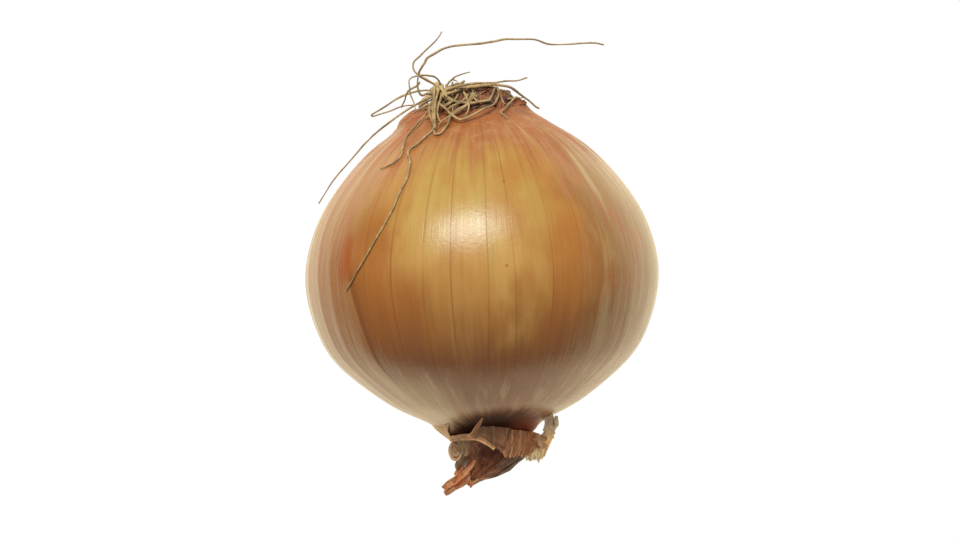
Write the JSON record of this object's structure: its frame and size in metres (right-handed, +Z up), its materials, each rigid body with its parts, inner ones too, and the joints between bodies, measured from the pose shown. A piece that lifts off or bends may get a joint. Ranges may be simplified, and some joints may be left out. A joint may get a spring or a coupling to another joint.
{
  "type": "onion",
  "caption": "Dry brown onion lying on its side, with papery golden skin, a torn and twisted dried neck, and a tangle of dry roots on its root plate.",
  "frame": {"origin": "centre of the small flat spot that the bulb rests on", "axes": "+Z is up; the bulb's own axis is horizontal along Y, with the root end at +Y and the dried neck at -Y; +X is to the right seen from above with the roots away from the viewer"},
  "size_m": [0.08, 0.1055, 0.079],
  "materials": {
    "golden_skin": "thin dry skin, satin gloss",
    "torn_skin": "papery, matte",
    "dried_neck": "dry leaf bases, matte, ribbed",
    "corky_plate": "corky, rough",
    "dry_root": "dry strand, matte"
  },
  "bodies": {
    "root": {"bulb": "golden_skin", "basal_plate": "corky_plate", "root_knot": "dry_root", "root_long_right": "dry_root", "root_upright": "dry_root", "root_hook": "dry_root", "root_loop": "dry_root", "root_long_loop": "dry_root", "root_low_left": "dry_root", "root_down_front": "dry_root", "root_short_left": "dry_root", "root_top_right": "dry_root", "root_right_arc": "dry_root", "root_top_stub": "dry_root", "root_bundle": "dry_root", "root_diagonal": "dry_root", "root_right_stub": "dry_root", "root_middle": "dry_root", "dried_neck": "dried_neck", "torn_collar": "torn_skin", "paper_hook": "torn_skin", "neck_curl": "torn_skin", "neck_scrap": "torn_skin"}
  },
  "joints": []
}
